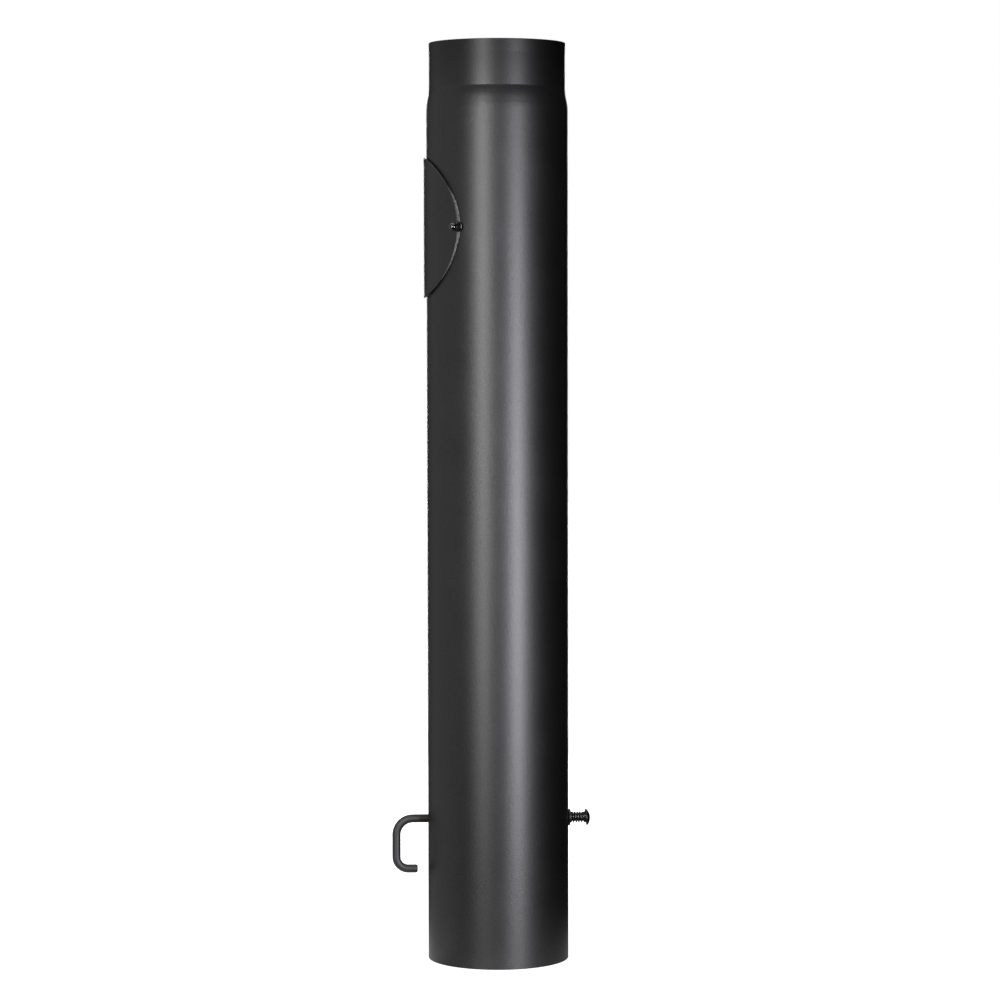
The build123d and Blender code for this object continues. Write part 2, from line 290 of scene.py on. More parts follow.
def wall_line():
    """The outside of the wall at the pipe's back, from bottom to top."""
    pull = [
        Vector((0, pipe_radius, shoulder_foot)),
        Vector((0, pipe_radius, shoulder_foot + shoulder_easing)),
        Vector((0, neck_radius, shoulder_head - shoulder_easing)),
        Vector((0, neck_radius, shoulder_head)),
    ]
    points = [Vector((0, pipe_radius, seam_start))]
    for step in range(shoulder_steps + 1):
        t = step / shoulder_steps
        weights = ((1 - t) ** 3, 3 * t * (1 - t) ** 2, 3 * t ** 2 * (1 - t), t ** 3)
        points.append(sum((weight * point for weight, point in zip(weights, pull)), Vector()))
    return [*points, Vector((0, neck_radius, pipe_top - seam_stop))]


seam_line = wall_line()
weld_seam = new_piece("weld_seam", seam_line, [], [(row, row + 1) for row in range(len(seam_line) - 1)])
seam = Shape("weld_seam", {"Pitch": seam_pitch, "Width": seam_width, "Rise": seam_rise,
                           "Wander": seam_wander, "Seed": 7})
line = seam.add("GeometryNodeMeshToCurve", inputs={"Mesh": seam.given["Shape"]})
places, heading = seam.add("GeometryNodeCurveToPoints", {"mode": "LENGTH"},
                           {"Curve": line, "Length": seam.given["Pitch"]}, ("Points", "Tangent"))
sway = seam.at(seam.spread(-1.0, 1.0, seam.given["Seed"]) * seam.given["Wander"], 0.0, 0.0)
places = seam.add("GeometryNodeSetPosition", inputs={"Geometry": places, "Offset": sway})
puddle = seam.add("GeometryNodeMeshUVSphere", inputs={"Segments": 8, "Rings": 5, "Radius": 1.0}, output="Mesh")
puddle = seam.add("GeometryNodeSetShadeSmooth", inputs={"Geometry": puddle})
turn = seam.add("FunctionNodeAlignRotationToVector", {"axis": "Z", "pivot_axis": "X"}, {"Vector": heading})
swell = seam.spread(1 - seam_swell, 1 + seam_swell, seam.given["Seed"] + 1)
size = seam.at(seam.given["Width"] / 2 * swell, seam.given["Rise"] * swell, seam.given["Pitch"] * seam_overlap)
puddles = seam.add("GeometryNodeInstanceOnPoints",
                   inputs={"Points": places, "Instance": puddle, "Rotation": turn, "Scale": size})
seam.run(puddles, weld_seam, pipe_paint)
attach(weld_seam, "flue")

# Weld studs: two M6 studs with a low collar, welded to the pipe in front of and behind the cleanout opening.
# They are steel, and the paint of the pipe runs over them before the nuts go on.
steel_colour = (0.006, 0.006, 0.006)
steel_roughness = 0.22
steel_drift = 0.12
scuff_size = 1.6 * mm
scuff_depth = 0.02 * mm


def black_steel(name, roughness, colour=steel_colour, bare=0.0):
    """Blackened steel under a thin lacquer, a little uneven where it was handled. Bare shows more metal."""
    steel = Finish(name)
    scuffs = steel.noise(scuff_size, 3.0)
    tone = steel.blend(scuffs, shade(colour, 0.8), shade(colour, 1.25))
    return steel.close(Base_Color=tone, Metallic=bare, Roughness=roughness + steel_drift * (scuffs - 0.5),
                       Normal=steel.bump(scuffs, scuff_depth))


stud_steel = black_steel("stud_steel", steel_roughness)
dress("cover_stud_front", stud_steel)
dress("cover_stud_rear", stud_steel)

# Gasket: a flat ring of grey fibre paper between the cover and the pipe, cut by hand. The nuts squeeze it
# out past the cover beside both studs, where its torn edge shows, and elsewhere it ends under the cover.
cover_low, cover_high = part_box("cleanout_cover")
cover_centre = (cover_low[2] + cover_high[2]) / 2
cover_sweep = (cover_high[2] - cover_low[2]) / 2
cover_face = -cover_low[0]
cover_sheet = 1.0 * mm
cover_back = cover_face - cover_sheet
gasket_gap = 0.05 * mm
gasket_opening = 60 * mm
squeeze_rest = -1.4 * mm
squeezes_above = [(3.7 * mm, math.radians(31))]
squeezes_below = [(1.9 * mm, math.radians(44)), (1.8 * mm, math.radians(13))]
ragged = 0.20 * mm
gasket_turns = 240
gasket_colour = (0.085, 0.085, 0.083)
fibre_colour = (0.20, 0.20, 0.195)
fibre_length = 2.2 * mm
fibre_width = 0.16 * mm
fibre_density = 260000.0
weave_size = 1.1 * mm
weave_contrast = 2.6
weave_depth = 0.25 * mm


def rolled(along, up, radius):
    """A point of the flat blank, wrapped onto the pipe's left side. Along runs towards the front."""
    turn = along / cover_back
    return Vector((-radius * math.cos(turn), -radius * math.sin(turn), cover_centre + up))


def rolled_blank(name, rows, turns, whole=False):
    """A piece rolled from a flat ring, or a whole disc. A row gives a reach by angle and a radius."""
    points = []
    for reach, radius in rows:
        for turn in turns:
            points.append(rolled(reach(turn) * math.cos(turn), reach(turn) * math.sin(turn), radius(turn)))
    count = len(turns)
    faces = []
    if whole:
        faces = [tuple(range(count)), tuple(reversed(range(len(points) - count, len(points))))]
    for row in range(len(rows) - 1 if whole else len(rows)):
        below = (row + 1) % len(rows)
        for step in range(count):
            ahead = (step + 1) % count
            faces.append((row * count + step, below * count + step, below * count + ahead, row * count + ahead))
    return new_piece(name, points, faces)


def squeezed(turn):
    """How far the gasket reaches past the cover at an angle about its centre."""
    from_stud = math.asin(abs(math.sin(turn)))
    reach = squeeze_rest
    for rise, spread in squeezes_above if math.sin(turn) > 0 else squeezes_below:
        reach += rise * math.exp(-(from_stud / spread) ** 4)
    return reach


torn = random.Random(11)
gasket_angles = [2 * math.pi * step / gasket_turns for step in range(gasket_turns)]
tears = {turn: torn.uniform(-ragged, ragged) for turn in gasket_angles}
puffs = {turn: torn.uniform(-0.5, 0.5) * ragged for turn in gasket_angles}


def gasket_edge(inset):
    return lambda turn: cover_sweep + squeezed(turn) + tears[turn] - inset


def gasket_face(radius, swell=0.0):
    return lambda turn: radius + swell * puffs[turn]


gasket_inside = pipe_radius + gasket_gap
gasket_outside = cover_back - gasket_gap
gasket_middle = (gasket_inside + gasket_outside) / 2
gasket_rows = [
    (lambda turn: gasket_opening, gasket_face(gasket_inside)),
    (lambda turn: gasket_opening, gasket_face(gasket_outside)),
    (lambda turn: cover_sweep - 4 * mm, gasket_face(gasket_outside)),
    (gasket_edge(0.6 * mm), gasket_face(gasket_outside, 0.5)),
    (gasket_edge(0.1 * mm), gasket_face(gasket_outside - 0.35 * mm, 1.0)),
    (gasket_edge(0.0), gasket_face(gasket_middle, 1.0)),
    (gasket_edge(0.2 * mm), gasket_face(gasket_inside + 0.3 * mm, 1.0)),
    (gasket_edge(0.7 * mm), gasket_face(gasket_inside)),
]
fibre_paper = Finish("fibre_paper")
fibre_weave = fibre_paper.noise(weave_size, 4.0)
fibre_amount = 0.5 + (fibre_weave - 0.5) * weave_contrast
fibre_tone = fibre_paper.blend(fibre_amount, shade(gasket_colour, 0.3), fibre_colour)
fibre_material = fibre_paper.close(Base_Color=fibre_tone, Roughness=0.95,
                                   Normal=fibre_paper.bump(fibre_weave, weave_depth))
cover_gasket = rolled_blank("gasket_ring", gasket_rows, gasket_angles)
gasket = Shape("gasket_fibres", {"Density": fibre_density, "Length": fibre_length, "Width": fibre_width,
                                 "Reach": cover_sweep - 1.0 * mm, "Middle": cover_centre,
                                 "Roll": cover_back, "Seed": 5})
where = gasket.add("GeometryNodeInputPosition")
across, along, up = gasket.add("ShaderNodeSeparateXYZ", inputs={0: where}, output=("X", "Y", "Z"))
unrolled = gasket.maths("ARCTAN2", along, 0.0 - across) * gasket.given["Roll"]
out = (unrolled ** 2 + (up - gasket.given["Middle"]) ** 2) ** 0.5
at_rim = gasket.maths("GREATER_THAN", out, gasket.given["Reach"])
roots, slope = gasket.add("GeometryNodeDistributePointsOnFaces",
                          inputs={"Mesh": gasket.given["Shape"], "Selection": at_rim,
                                  "Density": gasket.given["Density"], "Seed": gasket.given["Seed"]},
                          output=("Points", "Rotation"))
straw = gasket.add("GeometryNodeMeshCylinder",
                   {"fill_type": "TRIANGLE_FAN"},
                   {"Vertices": 4, "Side Segments": 2, "Radius": 0.5, "Depth": 1.0}, output="Mesh")
lie = gasket.at(gasket.spread(1.1, 1.9, gasket.given["Seed"] + 1), 0.0,
                gasket.spread(0.0, 2 * math.pi, gasket.given["Seed"] + 2))
straw_size = gasket.at(gasket.given["Width"], gasket.given["Width"],
                       gasket.given["Length"] * gasket.spread(0.3, 1.0, gasket.given["Seed"] + 3))
straws = gasket.add("GeometryNodeInstanceOnPoints",
                    inputs={"Points": roots, "Instance": straw, "Rotation": slope, "Scale": straw_size})
straws = gasket.add("GeometryNodeRotateInstances", inputs={"Instances": straws, "Rotation": lie})
both = gasket.add("GeometryNodeJoinGeometry", inputs={"Geometry": straws})
gasket.tree.links.new(gasket.given["Shape"].socket, both.socket.node.inputs["Geometry"])
gasket.run(both, cover_gasket, fibre_material)
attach(cover_gasket, "flue")
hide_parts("cover_gasket")

# Cleanout cover: a round plate of 1 mm sheet, rolled to the pipe, with a notch for each stud in its edge.
# It was tumbled before painting, so its cut edge is rounded. A pale painted highlight runs along that edge.
stud_notch = 3.4 * mm
edge_round = 0.38 * mm
edge_steps = 4
rim_highlight_share = 0.85
plain_turns = 160
notch_turns = 10
cover_rings = 14
hub_share = 0.02


def cover_reach(turn):
    """The cover's edge by angle about its centre: a circle with a round notch at each stud."""
    beside = abs(cover_sweep * math.sin(turn))
    if beside >= stud_notch:
        return cover_sweep
    inwards = cover_sweep * abs(math.cos(turn)) - math.sqrt(stud_notch ** 2 - beside ** 2)
    return min(cover_sweep, inwards)


def cover_edge(inset):
    return lambda turn: cover_reach(turn) - inset


def cover_part(share):
    return lambda turn: cover_sweep * share


def level(radius):
    return lambda turn: radius


notch_half = math.asin(stud_notch / cover_sweep)
cover_angles = {2 * math.pi * step / plain_turns for step in range(plain_turns)}
for centre in (0.0, math.pi):
    for step in range(-notch_turns, notch_turns + 1):
        cover_angles.add((centre + notch_half * math.sin(step / notch_turns * math.pi / 2)) % (2 * math.pi))
cover_angles = sorted(cover_angles)
shares = [hub_share, *(step / cover_rings for step in range(1, cover_rings))]
cover_rows = [(cover_part(share), level(cover_face)) for share in shares]
cover_rows.append((cover_edge(2 * edge_round), level(cover_face)))
for step in range(edge_steps + 1):
    lean = math.pi / 2 * step / edge_steps
    cover_rows.append((cover_edge(edge_round * (1 - math.sin(lean))),
                       level(cover_face - edge_round * (1 - math.cos(lean)))))
for step in range(edge_steps, -1, -1):
    lean = math.pi / 2 * step / edge_steps
    cover_rows.append((cover_edge(edge_round * (1 - math.sin(lean))),
                       level(cover_back + edge_round * (1 - math.cos(lean)))))
cover_rows.append((cover_edge(2 * edge_round), level(cover_back)))
cover_rows += [(cover_part(share), level(cover_back)) for share in reversed(shares)]


def cover_rim_highlight(paint, across, along, up):
    """A pale painted highlight on the cover's cut edge, and plain paint on its faces."""
    wrapped = paint.maths("ARCTAN2", along, 0.0 - across) * cover_back
    out = (wrapped ** 2 + (up - cover_centre) ** 2) ** 0.5
    return rim_highlight_share * paint.between(out, cover_sweep - 0.45 * edge_round, cover_sweep - 0.1 * edge_round)


cover_paint = stove_paint("cover_paint", gloss=0.02, painted_rim=cover_rim_highlight)
cover_plate = rolled_blank("cover_plate", cover_rows, cover_angles, whole=True)
cover_plate.data.materials.append(cover_paint)
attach(cover_plate, "flue")
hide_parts("cleanout_cover")

# Cap nuts and their washers: steel, turned and stamped, blackened and lacquered, one set on each stud.
# The nuts have a round dome over a short hexagon, with both its faces chamfered.
piece_gap = 0.05 * mm
stud_angle = cover_sweep / cover_back
stud_seat = cover_face + piece_gap
stud_washer_radius = 6.0 * mm
stud_washer_hole = 3.2 * mm
stud_washer_height = 1.6 * mm
stud_washer_edge = 0.25 * mm
nut_colour = (0.14, 0.14, 0.14)
nut_roughness = 0.14
nut_flat = 5.0 * mm
nut_hexagon = 5.2 * mm
nut_dome = 4.75 * mm
nut_height = 12.0 * mm
nut_bore = 3.05 * mm
nut_bore_depth = 9.0 * mm
nut_corner_blunt = 0.985
chamfer_slope = math.tan(math.radians(30))
nut_turns = 72
round_turns = 64


def turned(name, outline, turns, shaped=None):
    """Turns an outline of radius and height pairs about Z. An end at radius 0 is closed to a point."""
    points = []
    starts = []
    for row, (radius, height) in enumerate(outline):
        starts.append(len(points))
        for step in range(turns if radius else 1):
            angle = 2 * math.pi * step / turns
            reach = shaped(row, radius, angle) if shaped else radius
            points.append(Vector((reach * math.cos(angle), reach * math.sin(angle), height)))
    faces = []
    closed = outline[0][0] > 0
    for row in range(len(outline) if closed else len(outline) - 1):
        after = (row + 1) % len(outline)
        low, high = starts[row], starts[after]
        for step in range(turns):
            ahead = (step + 1) % turns
            if not outline[row][0]:
                faces.append((low, high + ahead, high + step))
            elif not outline[after][0]:
                faces.append((low + step, low + ahead, high))
            else:
                faces.append((low + step, low + ahead, high + ahead, high + step))
    return new_piece(name, points, faces)


def ring_outline(hole, radius, low, high, edge):
    """The section of a flat ring whose four edges are rounded."""
    corners = [(radius - edge, low + edge, -90), (radius - edge, high - edge, 0),
               (hole + edge, high - edge, 90), (hole + edge, low + edge, 180)]
    outline = []
    for across, up, start in corners:
        for step in range(4):
            angle = math.radians(start + 30 * step)
            outline.append((across + edge * math.cos(angle), up + edge * math.sin(angle)))
    return outline


def nut_outline():
    """From the bottom of the nut's bore, down, out under the hexagon, up its sides and over the dome."""
    corner = nut_flat / math.cos(math.pi / 6)
    drop = (corner - nut_flat) * chamfer_slope
    sides = [(nut_flat, 0.0), (nut_flat + drop / 2 / chamfer_slope, drop / 2), (corner, drop),
             (corner, nut_hexagon - drop), (nut_flat + drop / 2 / chamfer_slope, nut_hexagon - drop / 2),
             (nut_flat, nut_hexagon)]
    shoulder = [(nut_dome + 0.12 * mm, nut_hexagon), (nut_dome, nut_hexagon + 0.12 * mm)]
    dome = []
    for step in range(10):
        angle = math.pi / 2 * step / 9
        dome.append((nut_dome * math.cos(angle), nut_height - nut_dome + nut_dome * math.sin(angle)))
    dome[-1] = (0.0, nut_height)
    return [(0.0, nut_bore_depth), (nut_bore, nut_bore_depth), (nut_bore, 0.0), *sides, *shoulder, *dome]


def hexagonal(row, radius, angle):
    """Keeps the part of the outline beyond the flats inside the hexagon."""
    if radius < nut_flat:
        return radius
    across = (angle + math.pi / 6) % (math.pi / 3) - math.pi / 6
    return min(radius, nut_flat / math.cos(across), nut_flat / math.cos(math.pi / 6) * nut_corner_blunt)


def at_studs(name, piece, seat, seed, material):
    """Sets a copy of a piece on both studs, each turned as it came to rest."""
    tree = Shape(name, {"Seat": seat, "Angle": stud_angle, "Height": cover_centre, "Seed": seed})
    side = tree.add("GeometryNodeInputIndex") * 2 - 1
    angle = math.pi + side * tree.given["Angle"]
    out = tree.at(tree.maths("COSINE", angle), tree.maths("SINE", angle), 0.0)
    spot = tree.at(tree.maths("COSINE", angle) * tree.given["Seat"],
                   tree.maths("SINE", angle) * tree.given["Seat"], tree.given["Height"])
    studs = tree.add("GeometryNodePoints", inputs={"Count": 2, "Position": spot})
    stand = tree.add("FunctionNodeAlignRotationToVector", {"axis": "Z"}, {"Vector": out})
    copies = tree.add("GeometryNodeInstanceOnPoints",
                      inputs={"Points": studs, "Instance": tree.given["Shape"], "Rotation": stand})
    spin = tree.at(0.0, 0.0, tree.spread(0.0, math.pi / 3, tree.given["Seed"]))
    copies = tree.add("GeometryNodeRotateInstances", inputs={"Instances": copies, "Rotation": spin})
    return tree.run(copies, piece, material)


nut_steel = black_steel("nut_steel", nut_roughness, nut_colour, bare=1.0)
stud_ring = ring_outline(stud_washer_hole, stud_washer_radius, 0.0, stud_washer_height, stud_washer_edge)
stud_washers = turned("stud_washers", stud_ring, round_turns)
at_studs("stud_washers", stud_washers, stud_seat, 1, nut_steel)
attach(stud_washers, "flue")
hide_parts("cover_washer_front", "cover_washer_rear")
cap_nuts = turned("cap_nuts", nut_outline(), nut_turns, hexagonal)
cap_nuts.data.set_sharp_from_angle(angle=math.radians(28))
at_studs("cap_nuts", cap_nuts, stud_seat + stud_washer_height + piece_gap, 3, nut_steel)
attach(cap_nuts, "flue")
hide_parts("cover_nut_front", "cover_nut_rear")

# Damper shaft and handle: one 9 mm steel bar. Its left end is bent down and back to a hand grip, and the
# middle is pressed flat for the blade. It is painted as the pipe is, over faint lines that drawing left along
# it. It is painted darker and browner next to the wall, a painted reflection of the dark pipe, and near-black
# beyond the wall inside the spring, a painted shade between the coils.
shaft_height = sum(corner[2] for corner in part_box("outer_washer")) / 2
shaft_colour = (0.105, 0.105, 0.106)
# Painted reflection and painted shade: the bar's tone next to the wall, and inside the spring.
pipe_reflection_colour = (0.060, 0.052, 0.050)
coil_shade_colour = (0.030, 0.030, 0.031)
shaft_roughness = 0.56
draw_line_size = 0.8 * mm
draw_line_depth = 0.03 * mm
pipe_reflection_start = -1.4 * pipe_radius
coil_shade_start = 0.96 * pipe_radius
bar_paint = Finish("shaft_paint")
draw_lines = bar_paint.noise(draw_line_size, 3.0, stretch=(12, 1, 6))
bar_mottle = bar_paint.noise(7 * mm, 3.0)
bar_lines = draw_lines * 0.6 + bar_mottle * 0.4
bar_tone = bar_paint.blend(bar_lines, shade(shaft_colour, 0.6), shade(shaft_colour, 1.35))
across = bar_paint.add("ShaderNodeSeparateXYZ", inputs={0: bar_paint.place}, output="X")
# Painted shade: near-black where the bar runs beyond the wall, inside the spring.
coil_shade = bar_paint.between(across, coil_shade_start, pipe_radius)
# Painted reflection: darker and browner where the bar nears the dark pipe.
pipe_reflection = bar_paint.between(across, pipe_reflection_start, -pipe_radius)
bar_tone = bar_paint.blend(pipe_reflection * (0.4 + draw_lines), bar_tone, pipe_reflection_colour)
bar_tone = bar_paint.blend(coil_shade, bar_tone, coil_shade_colour)
bar_rough = shaft_roughness + 0.12 * (draw_lines - 0.5)
bar_finish = bar_paint.close(Base_Color=bar_tone, Metallic=paint_flake, Roughness=bar_rough,
                             Normal=bar_paint.bump(draw_lines, draw_line_depth))
dress("damper_shaft", bar_finish)

# Damper blade, its two saddles and four rivets: hot-rolled sheet with its blue-grey mill scale left on.
# The saddles are straps folded over the bar, and the rivets are set cold, which polished their heads.
scale_colour = (0.085, 0.088, 0.094)
scale_roughness = 0.46
rivet_colour = (0.16, 0.16, 0.165)


def mill_scale(name, colour, roughness, brush):
    """Bare rolled steel, clouded by its scale and brushed a little one way."""
    sheet = Finish(name)
    clouds = sheet.noise(14 * mm, 4.0)
    grain = sheet.noise(0.7 * mm, 3.0, stretch=brush)
    tone = sheet.blend(clouds, shade(colour, 0.6), shade(colour, 1.5))
    return sheet.close(Base_Color=tone, Metallic=0.85, Roughness=roughness + 0.2 * (clouds - 0.5),
                       Normal=sheet.bump(grain, 0.025 * mm))


blade_steel = mill_scale("blade_steel", scale_colour, scale_roughness, (1, 1, 9))
rivet_steel = mill_scale("rivet_steel", rivet_colour, 0.34, (1, 1, 1))
for node in ("damper_blade", "blade_saddle_left", "blade_saddle_right"):
    dress(node, blade_steel)
for end in ("left", "right"):
    for row in ("lower", "upper"):
        dress(f"rivet_{end}_{row}", rivet_steel)

# Shaft washers: a stamped steel washer on each side of the wall at the shaft's right end.
# The outer one hangs a little aslant under the push of the spring, its foot against the pipe.
washer_low, washer_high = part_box("outer_washer")
shaft_washer_radius = (washer_high[2] - washer_low[2]) / 2
shaft_washer_sheet = washer_high[0] - washer_low[0]
shaft_washer_hole = 4.85 * mm
washer_lean = math.radians(-1.5)
washer_touch = 0.06 * mm
shaft_washer_edge = 0.3 * mm
end_colour = (0.060, 0.060, 0.061)
end_roughness = 0.33


def on_shaft(piece, start, lean):
    """Turns a piece that stands on the origin onto the shaft. A lean brings its top nearer the pipe."""
    place = Matrix.Translation((start, 0, shaft_height))
    piece.data.transform(place @ Matrix.Rotation(-lean, 4, "Y") @ Matrix.Rotation(math.pi / 2, 4, "Y"))


end_steel = black_steel("end_steel", end_roughness, end_colour, bare=1.0)
dress("inner_washer", end_steel)
washer_start = pipe_radius + washer_touch + shaft_washer_radius * math.sin(abs(washer_lean))
shaft_ring = ring_outline(shaft_washer_hole, shaft_washer_radius, 0.0, shaft_washer_sheet, shaft_washer_edge)
shaft_washer = turned("shaft_washer", shaft_ring, round_turns)
on_shaft(shaft_washer, washer_start, washer_lean)
shaft_washer.data.materials.append(end_steel)
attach(shaft_washer, "damper")
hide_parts("outer_washer")

# Compression spring: 1.5 mm spring wire, coiled cold, with closed turns ground flat at both ends.
# It is blackened in oil, and pushes the cap out so that the damper stays where it is turned.
spring_low, spring_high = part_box("shaft_spring")
spring_wire = 1.5 * mm
spring_radius = (spring_high[2] - spring_low[2]) / 2 - spring_wire / 2
spring_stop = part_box("lock_washer")[0][0] - piece_gap
spring_start = washer_start + shaft_washer_sheet + piece_gap
spring_colour = (0.130, 0.130, 0.133)
spring_roughness = 0.26
cap_lean = math.radians(5.5)
spring_steel = black_steel("spring_steel", spring_roughness, spring_colour, bare=1.0)
spring = Shape("shaft_spring", {
    "Start": spring_start, "Length": spring_stop - spring_start, "Wire": spring_wire, "Radius": spring_radius,
    "Closed First": 1.0, "Open": 4.6, "Closed Last": 1.6, "Closed Pitch": spring_wire + 0.06 * mm,
    "Steps": 32, "Height": shaft_height, "First Lean": math.tan(washer_lean), "Last Lean": math.tan(cap_lean)})
given = spring.given
closed = given["Closed First"] + given["Closed Last"]
turns = closed + given["Open"]
pitch = (given["Length"] - closed * given["Closed Pitch"]) / given["Open"]
wire_line = spring.add("GeometryNodeMeshLine", inputs={"Count": turns * given["Steps"] + 1})
wire_line = spring.add("GeometryNodeMeshToCurve", inputs={"Mesh": wire_line})
turned_by = spring.add("GeometryNodeInputIndex") / given["Steps"]
opened = spring.held(turned_by - given["Closed First"], 0.0, given["Open"])
rise = (turned_by - opened) * given["Closed Pitch"] + opened * pitch
bend = turned_by * (2 * math.pi)
coil = spring.at(given["Start"] + rise, given["Radius"] * spring.maths("COSINE", bend),
                 given["Height"] + given["Radius"] * spring.maths("SINE", bend))
wire_line = spring.add("GeometryNodeSetPosition", inputs={"Geometry": wire_line, "Position": coil})
section = spring.add("GeometryNodeCurvePrimitiveCircle",
                     inputs={"Resolution": 12, "Radius": given["Wire"] / 2})
wire = spring.add("GeometryNodeCurveToMesh",
                  inputs={"Curve": wire_line, "Profile Curve": section, "Fill Caps": True})
where = spring.add("GeometryNodeInputPosition")
across, along, up = spring.add("ShaderNodeSeparateXYZ", inputs={0: where}, output=("X", "Y", "Z"))
ground = spring.held(across, given["Start"], given["Start"] + given["Length"])
way_along = (ground - given["Start"]) / given["Length"]
lean = given["First Lean"] + (given["Last Lean"] - given["First Lean"]) * way_along
leaning = spring.at(ground - (up - given["Height"]) * lean, along, up)
wire = spring.add("GeometryNodeSetPosition", inputs={"Geometry": wire, "Position": leaning})
wire = spring.add("GeometryNodeSetShadeSmooth", inputs={"Geometry": wire})
shaft_spring = new_piece("coil_spring", [Vector()], [])
spring.run(wire, shaft_spring, spring_steel)
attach(shaft_spring, "damper")
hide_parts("shaft_spring")

# End cap and lock washer: a dome drawn from thin sheet, its rim folded in over a toothed spring washer.
# The teeth bite the bar and hold the spring down. The cap went on by hand, so it sits a little crooked.
cap_low, cap_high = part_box("end_cap")
cap_radius = (cap_high[2] - cap_low[2]) / 2
cap_height = cap_high[0] - cap_low[0]
cap_sheet = 0.5 * mm
cap_lip = 7.2 * mm
cap_rim = 1.6 * mm
cap_edge = 0.45 * mm
dome_steps = 10
lock_sheet = 0.5 * mm
lock_bore = 4.65 * mm
lock_seat = 5.8 * mm
lock_rise = 0.8 * mm
lock_teeth = 6
lock_slot = math.radians(12)
lock_turns = 120


def dome_line(radius, rim, top):
    """The line of a dome from its rim to its crown."""
    rise = top - rim
    ball = (radius ** 2 + rise ** 2) / (2 * rise)
    full = math.asin(radius / ball)
    angles = [full * (1 - step / dome_steps) for step in range(dome_steps + 1)]
    line = [(ball * math.sin(angle), top - ball + ball * math.cos(angle)) for angle in angles]
    line[-1] = (0.0, top)
    return line


dome = dome_line(cap_radius, cap_rim, cap_height)
inner_dome = dome_line(cap_radius - cap_sheet, cap_rim, cap_height - cap_sheet)
fold = [(cap_radius - cap_edge + cap_edge * math.sin(math.radians(angle)),
         cap_edge - cap_edge * math.cos(math.radians(angle))) for angle in (0, 22.5, 45, 67.5, 90)]
cap_outline = [*reversed(inner_dome), (cap_radius - cap_sheet, cap_sheet), (cap_lip, cap_sheet),
               (cap_lip - 0.15 * mm, cap_sheet / 2), (cap_lip, 0.0), (cap_lip + 0.3 * mm, 0.0), *fold, *dome]
cap = turned("spring_cap", cap_outline, round_turns)
on_shaft(cap, cap_low[0], cap_lean)
cap.data.materials.append(end_steel)
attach(cap, "damper")
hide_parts("end_cap")


def toothed(row, radius, angle):
    """Opens the slots between the teeth, which end where the ring turns flat."""
    in_slot = abs(angle % (2 * math.pi / lock_teeth) - math.pi / lock_teeth) < lock_slot
    return lock_seat if radius < lock_seat and in_slot else radius


lock_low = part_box("lock_washer")[0][0]
lock_radius = cap_radius - cap_sheet - 0.1 * mm
lock_outline = [(lock_radius, 0.0), (lock_radius, lock_sheet), (lock_seat, lock_sheet),
                (lock_bore, lock_sheet + lock_rise), (lock_bore, lock_rise), (lock_seat - 0.02 * mm, 0.0)]
lock = turned("toothed_washer", lock_outline, lock_turns, toothed)
on_shaft(lock, lock_low, cap_lean)
lock.data.materials.append(spring_steel)
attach(lock, "damper")
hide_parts("lock_washer")

# Studio: a plain pale floor in a white room, lit by a tall soft strip on each side of the camera and two weaker
# ones behind the pipe. A screen of grey and black cloth stands round the set, open above. The picture doesn't
# show it, only reflections do.
camera_turn = math.radians(2.8)
floor_radius = 9.0
floor_colour = (0.86, 0.86, 0.86)
floor_glow = 0.80
room_light = 0.35
strips = {
    "left_strip": (-23.2, 1.7, 0.55, 0.12, 0.90, 10.3, (1.0, 1.0, 1.0)),
    "left_strip_top": (-23.2, 1.7, 1.12, 0.12, 0.24, 4.6, (1.0, 1.0, 1.0)),
    "right_strip": (31.2, 1.7, 0.66, 0.12, 0.70, 10.9, (0.96, 0.95, 1.0)),
    "right_strip_foot": (31.2, 1.7, 0.16, 0.12, 0.28, 9.8, (0.96, 0.95, 1.0)),
    "back_left_strip": (-168, 1.7, 0.60, 0.12, 1.10, 6.0, (1.0, 1.0, 1.0)),
    "back_right_strip": (170, 1.7, 0.60, 0.12, 1.10, 8.0, (1.0, 1.0, 1.0)),
}
screen_radius = 2.4
screen_height = 3.6
screen_black = 0.004
screen_left = 0.37
screen_left_front = (math.radians(-45), math.radians(-75))
screen_left_back = (math.radians(-155), math.radians(-120))
screen_floor = 0.35
screen_floor_reach = 0.30
screen_panels = 96


def facing(azimuth, distance, height):
    """A place round the pipe, seen from the camera, turned to face the pipe. Right is positive."""
    heading = math.radians(azimuth) - camera_turn
    spot = Vector((distance * math.sin(heading), -distance * math.cos(heading), height))
    to_pipe = Vector((-spot.x, -spot.y, 0))
    return Matrix.Translation(spot) @ to_pipe.to_track_quat("-Z", "Y").to_matrix().to_4x4()


def seen_white(tree):
    """1 for rays that show the background itself, straight or by reflection, and 0 for light on the object."""
    rays = tree.add("ShaderNodeLightPath", output=("Is Camera Ray", "Is Glossy Ray", "Is Transmission Ray"))
    return tree.maths("MINIMUM", rays[0] + rays[1] + rays[2], 1.0)


for name, (azimuth, distance, height, width, tall, power, colour) in strips.items():
    lamp = bpy.data.lights.new(name, "AREA")
    lamp.shape = "RECTANGLE"
    lamp.size = width
    lamp.size_y = tall
    lamp.energy = power
    lamp.color = colour
    strip = bpy.data.objects.new(name, lamp)
    strip.matrix_world = facing(azimuth, distance, height)
    strip.visible_camera = False
    bpy.context.scene.collection.objects.link(strip)

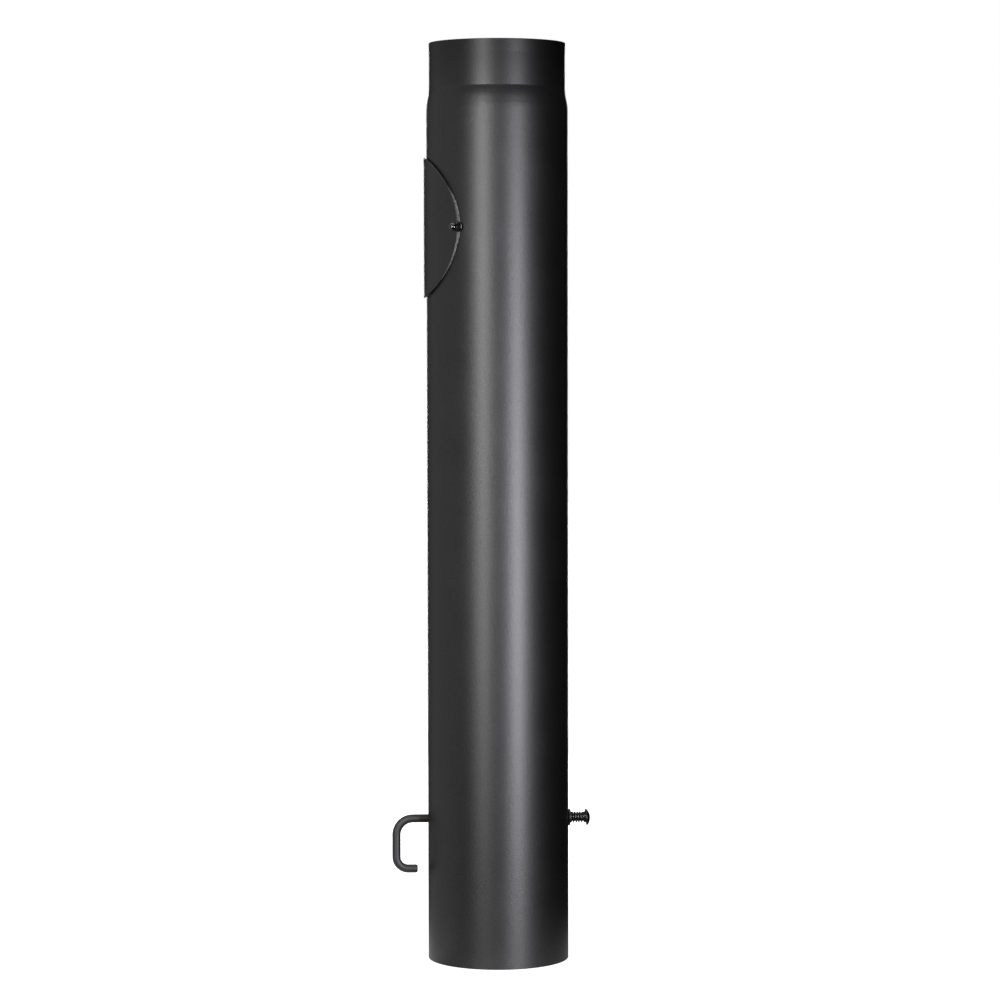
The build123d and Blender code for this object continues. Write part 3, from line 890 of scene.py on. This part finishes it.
cloth = Finish("screen_cloth")
across, along, up = cloth.add("ShaderNodeSeparateXYZ", inputs={0: cloth.place}, output=("X", "Y", "Z"))
from_pipe = (across ** 2 + along ** 2) ** 0.5
bearing = cloth.maths("ARCTAN2", across, 0.0 - along) + camera_turn
left_side = cloth.between(bearing, *screen_left_front) * cloth.between(bearing, *screen_left_back)
wall_grey = screen_black + screen_left * left_side
near = cloth.between(from_pipe, screen_floor_reach, 0.08)
on_wall = cloth.between(from_pipe, 0.97 * screen_radius, 0.99 * screen_radius)
grey = wall_grey + screen_floor * near * (1 - on_wall)
cloth_light = cloth.add("ShaderNodeEmission", inputs={"Strength": grey})
cloth.add("ShaderNodeOutputMaterial", inputs={"Surface": cloth_light})
bearings = [2 * math.pi * step / screen_panels for step in range(screen_panels)]
foot = []
for turn in bearings:
    foot.append(Vector((screen_radius * math.cos(turn), screen_radius * math.sin(turn), 0.1 * mm)))
head = [Vector((point.x, point.y, screen_height)) for point in foot]
panels = [(step, (step + 1) % screen_panels, (step + 1) % screen_panels + screen_panels, step + screen_panels)
          for step in range(screen_panels)]
screen = new_piece("screen", foot + head, [tuple(range(screen_panels)), *panels])
screen.data.materials.append(cloth.material)
for ray in ("camera", "diffuse", "shadow", "transmission", "volume_scatter"):
    setattr(screen, f"visible_{ray}", False)

rim = [Vector((floor_radius * math.cos(turn), floor_radius * math.sin(turn), -0.2 * mm)) for turn in bearings]
floor = new_piece("floor", rim, [tuple(range(len(rim)))])
paper = Finish("floor_paper")
floor_shade = paper.add("ShaderNodeBsdfDiffuse", inputs={"Color": (*floor_colour, 1)})
floor_light = paper.add("ShaderNodeEmission", inputs={"Strength": seen_white(paper) * floor_glow})
floor_whole = paper.add("ShaderNodeAddShader", inputs={0: floor_shade, 1: floor_light})
paper.add("ShaderNodeOutputMaterial", inputs={"Surface": floor_whole})
floor.data.materials.append(paper.material)

world = bpy.data.worlds.new("studio")
world.use_nodes = True
room = Tree(world.node_tree)
room_strength = room_light + (1 - room_light) * seen_white(room)
room_glow = room.add("ShaderNodeBackground", inputs={"Color": (1, 1, 1, 1), "Strength": room_strength})
room.add("ShaderNodeOutputWorld", inputs={"Surface": room_glow})
bpy.context.scene.world = world
bpy.context.scene.view_settings.view_transform = "Standard"

# Camera: a long lens at chest height, almost square to the handle, looking a little down.
camera_distance = 3.642
camera_height = 0.7038
camera_tilt = math.radians(3.145)
camera_pan = math.radians(0.040)
camera_roll = math.radians(-0.104)
lens = bpy.data.cameras.new("camera")
lens.sensor_width = 36.0
lens.lens = 120.06
camera = bpy.data.objects.new("camera", lens)
stand = Matrix.Rotation(-camera_turn, 4, "Z") @ Matrix.Translation((0, -camera_distance, camera_height))
aim = Matrix.Rotation(-camera_pan, 4, "Z") @ Matrix.Rotation(math.pi / 2 - camera_tilt, 4, "X")
camera.matrix_world = stand @ aim @ Matrix.Rotation(camera_roll, 4, "Z")
bpy.context.scene.collection.objects.link(camera)
bpy.context.scene.camera = camera
